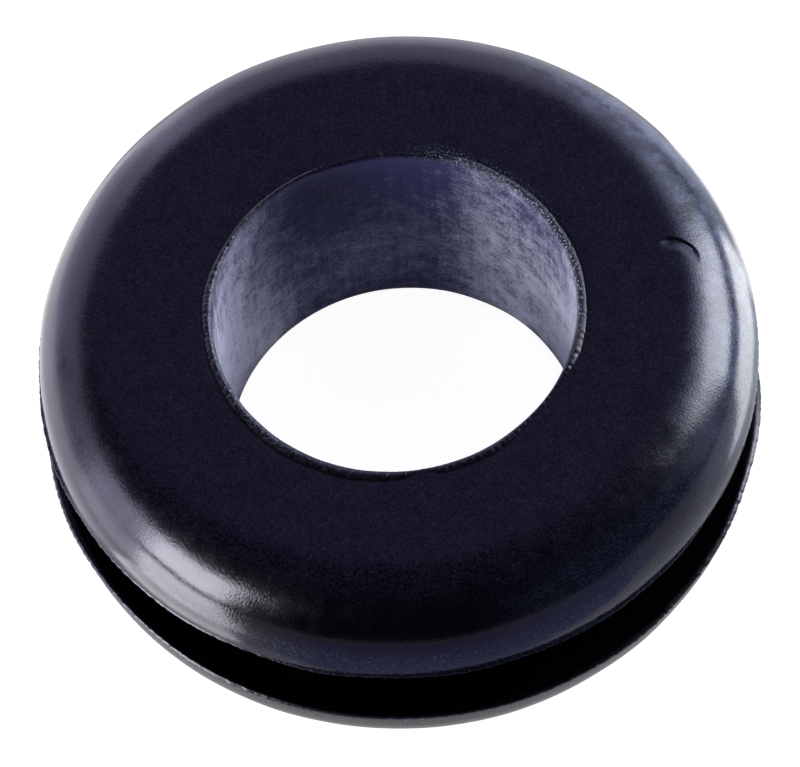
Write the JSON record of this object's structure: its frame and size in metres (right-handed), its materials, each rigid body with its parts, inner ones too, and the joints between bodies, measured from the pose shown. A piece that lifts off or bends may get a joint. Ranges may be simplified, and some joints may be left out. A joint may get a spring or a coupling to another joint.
{
  "type": "rubber grommet",
  "caption": "Round black rubber grommet: a ring with a straight bore and two rounded flanges, with a groove between them that snaps over a panel's edge.",
  "frame": {"origin": "centre of the ring: on the bore's axis, half way across the panel groove and half way up the part", "axes": "+Z along the bore's axis, square to the two flat faces; the ring is the same all round, so +X and +Y are any two directions across it"},
  "size_m": [0.0256, 0.0256, 0.0096],
  "materials": {
    "rubber": "satin black moulded rubber with a blue-black cast and a dry bloom on the bore's wall"
  },
  "bodies": {
    "root": {"grommet": "rubber"}
  },
  "joints": []
}
